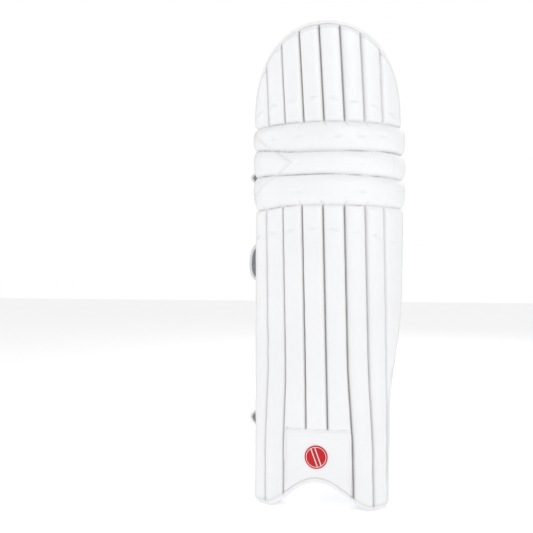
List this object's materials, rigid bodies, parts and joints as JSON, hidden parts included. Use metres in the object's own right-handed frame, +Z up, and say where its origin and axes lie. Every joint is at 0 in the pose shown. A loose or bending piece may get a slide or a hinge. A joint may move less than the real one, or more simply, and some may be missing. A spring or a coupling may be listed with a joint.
{
  "type": "cricket batting leg pad",
  "caption": "Cricket batting leg pad for the right leg: ribbed shin, knee rolls and domed top, padded inside, with hook-and-loop straps behind.",
  "frame": {"origin": "middle of the pad's footprint, on the floor it stands on", "axes": "+Z up, the ribbed face looks towards -Y, the wearer's outer side and the wing are at +X"},
  "size_m": [0.2372, 0.1031, 0.7],
  "materials": {
    "face_pu": "satin white polyurethane leathercloth with a fine grain",
    "cane_foam": "split cane strips in foam, hidden in the ribs",
    "foam": "closed-cell foam, hidden",
    "lining": "white polyester lining over soft stuffing",
    "piping": "white leathercloth binding, stitched",
    "loop_tape": "white loop tape",
    "webbing": "white webbing with turned edges",
    "checked_loop": "loop pile woven in charcoal and light grey squares",
    "hook_tape": "grey hook tape"
  },
  "bodies": {
    "shin": {"shin_cover": "face_pu", "shin_cane_1": "cane_foam", "shin_cane_2": "cane_foam", "shin_cane_3": "cane_foam", "shin_cane_4": "cane_foam", "shin_cane_5": "cane_foam", "shin_cane_6": "cane_foam", "shin_cane_7": "cane_foam", "shin_wing_foam": "foam", "shin_foam": "foam", "shin_lining": "lining", "instep_panel": "face_pu", "shin_binding": "piping", "calf_bolster_wing": "lining", "calf_bolster_inner": "lining", "wing_bolster": "lining", "centre_shin_pad": "lining", "ankle_pad_wing": "lining", "ankle_pad_inner": "lining", "calf_loop_patch": "loop_tape", "ankle_loop_patch": "loop_tape", "calf_strap_anchor": "face_pu", "ankle_strap_anchor": "face_pu"},
    "lower_roll": {"lower_roll_cover": "face_pu", "lower_roll_core": "foam"},
    "middle_roll": {"middle_roll_cover": "face_pu", "middle_roll_core": "foam", "knee_flap": "face_pu", "knee_bolster_wing": "lining", "knee_bolster_inner": "lining", "knee_locator": "lining", "knee_loop_patch": "loop_tape", "knee_strap_anchor": "face_pu"},
    "upper_roll": {"upper_roll_cover": "face_pu", "upper_roll_core": "foam"},
    "top_hat": {"hat_cover": "face_pu", "hat_cane_1": "cane_foam", "hat_cane_2": "cane_foam", "hat_cane_3": "cane_foam", "hat_cane_4": "cane_foam", "hat_cane_5": "cane_foam", "hat_cane_6": "cane_foam", "hat_cane_7": "cane_foam", "hat_foam": "foam", "hat_lining": "lining", "hat_binding": "piping"},
    "knee_strap": {"knee_strap_core": "webbing", "knee_strap_check": "checked_loop", "knee_strap_tip": "face_pu", "knee_strap_hook": "hook_tape"},
    "calf_strap": {"calf_strap_core": "webbing", "calf_strap_check": "checked_loop", "calf_strap_tip": "face_pu", "calf_strap_hook": "hook_tape"},
    "ankle_strap": {"ankle_strap_core": "webbing", "ankle_strap_check": "checked_loop", "ankle_strap_hook": "hook_tape"}
  },
  "joints": [
    {"name": "lower_roll_bend", "type": "hinge", "parent": "shin", "child": "lower_roll", "pos_m": [-0.002, -0.0057, 0.438], "axis": [-1, 0, 0], "range_deg": [0, 8], "stiffness_Nm_per_rad": 6},
    {"name": "middle_roll_bend", "type": "hinge", "parent": "lower_roll", "child": "middle_roll", "pos_m": [-0.002, -0.0057, 0.482], "axis": [-1, 0, 0], "range_deg": [0, 8], "stiffness_Nm_per_rad": 6},
    {"name": "upper_roll_bend", "type": "hinge", "parent": "middle_roll", "child": "upper_roll", "pos_m": [-0.002, -0.0057, 0.5145], "axis": [-1, 0, 0], "range_deg": [0, 8], "stiffness_Nm_per_rad": 6},
    {"name": "top_hat_bend", "type": "hinge", "parent": "upper_roll", "child": "top_hat", "pos_m": [-0.002, -0.0057, 0.557], "axis": [-1, 0, 0], "range_deg": [0, 8], "stiffness_Nm_per_rad": 6},
    {"name": "knee_strap_swing", "type": "hinge", "parent": "middle_roll", "child": "knee_strap", "pos_m": [0.101, 0.0498, 0.476], "axis": [0, 0, -1], "range_deg": [0, 110]},
    {"name": "calf_strap_swing", "type": "hinge", "parent": "shin", "child": "calf_strap", "pos_m": [0.101, 0.0468, 0.345], "axis": [0, 0, -1], "range_deg": [0, 110]},
    {"name": "ankle_strap_swing", "type": "hinge", "parent": "shin", "child": "ankle_strap", "pos_m": [0.092, 0.0163, 0.106], "axis": [0, 0, -1], "range_deg": [0, 110]}
  ],
  "couplings": [
    {"joint": "middle_roll_bend", "follows": "lower_roll_bend", "ratio": 1},
    {"joint": "upper_roll_bend", "follows": "lower_roll_bend", "ratio": 1},
    {"joint": "top_hat_bend", "follows": "lower_roll_bend", "ratio": 1}
  ]
}
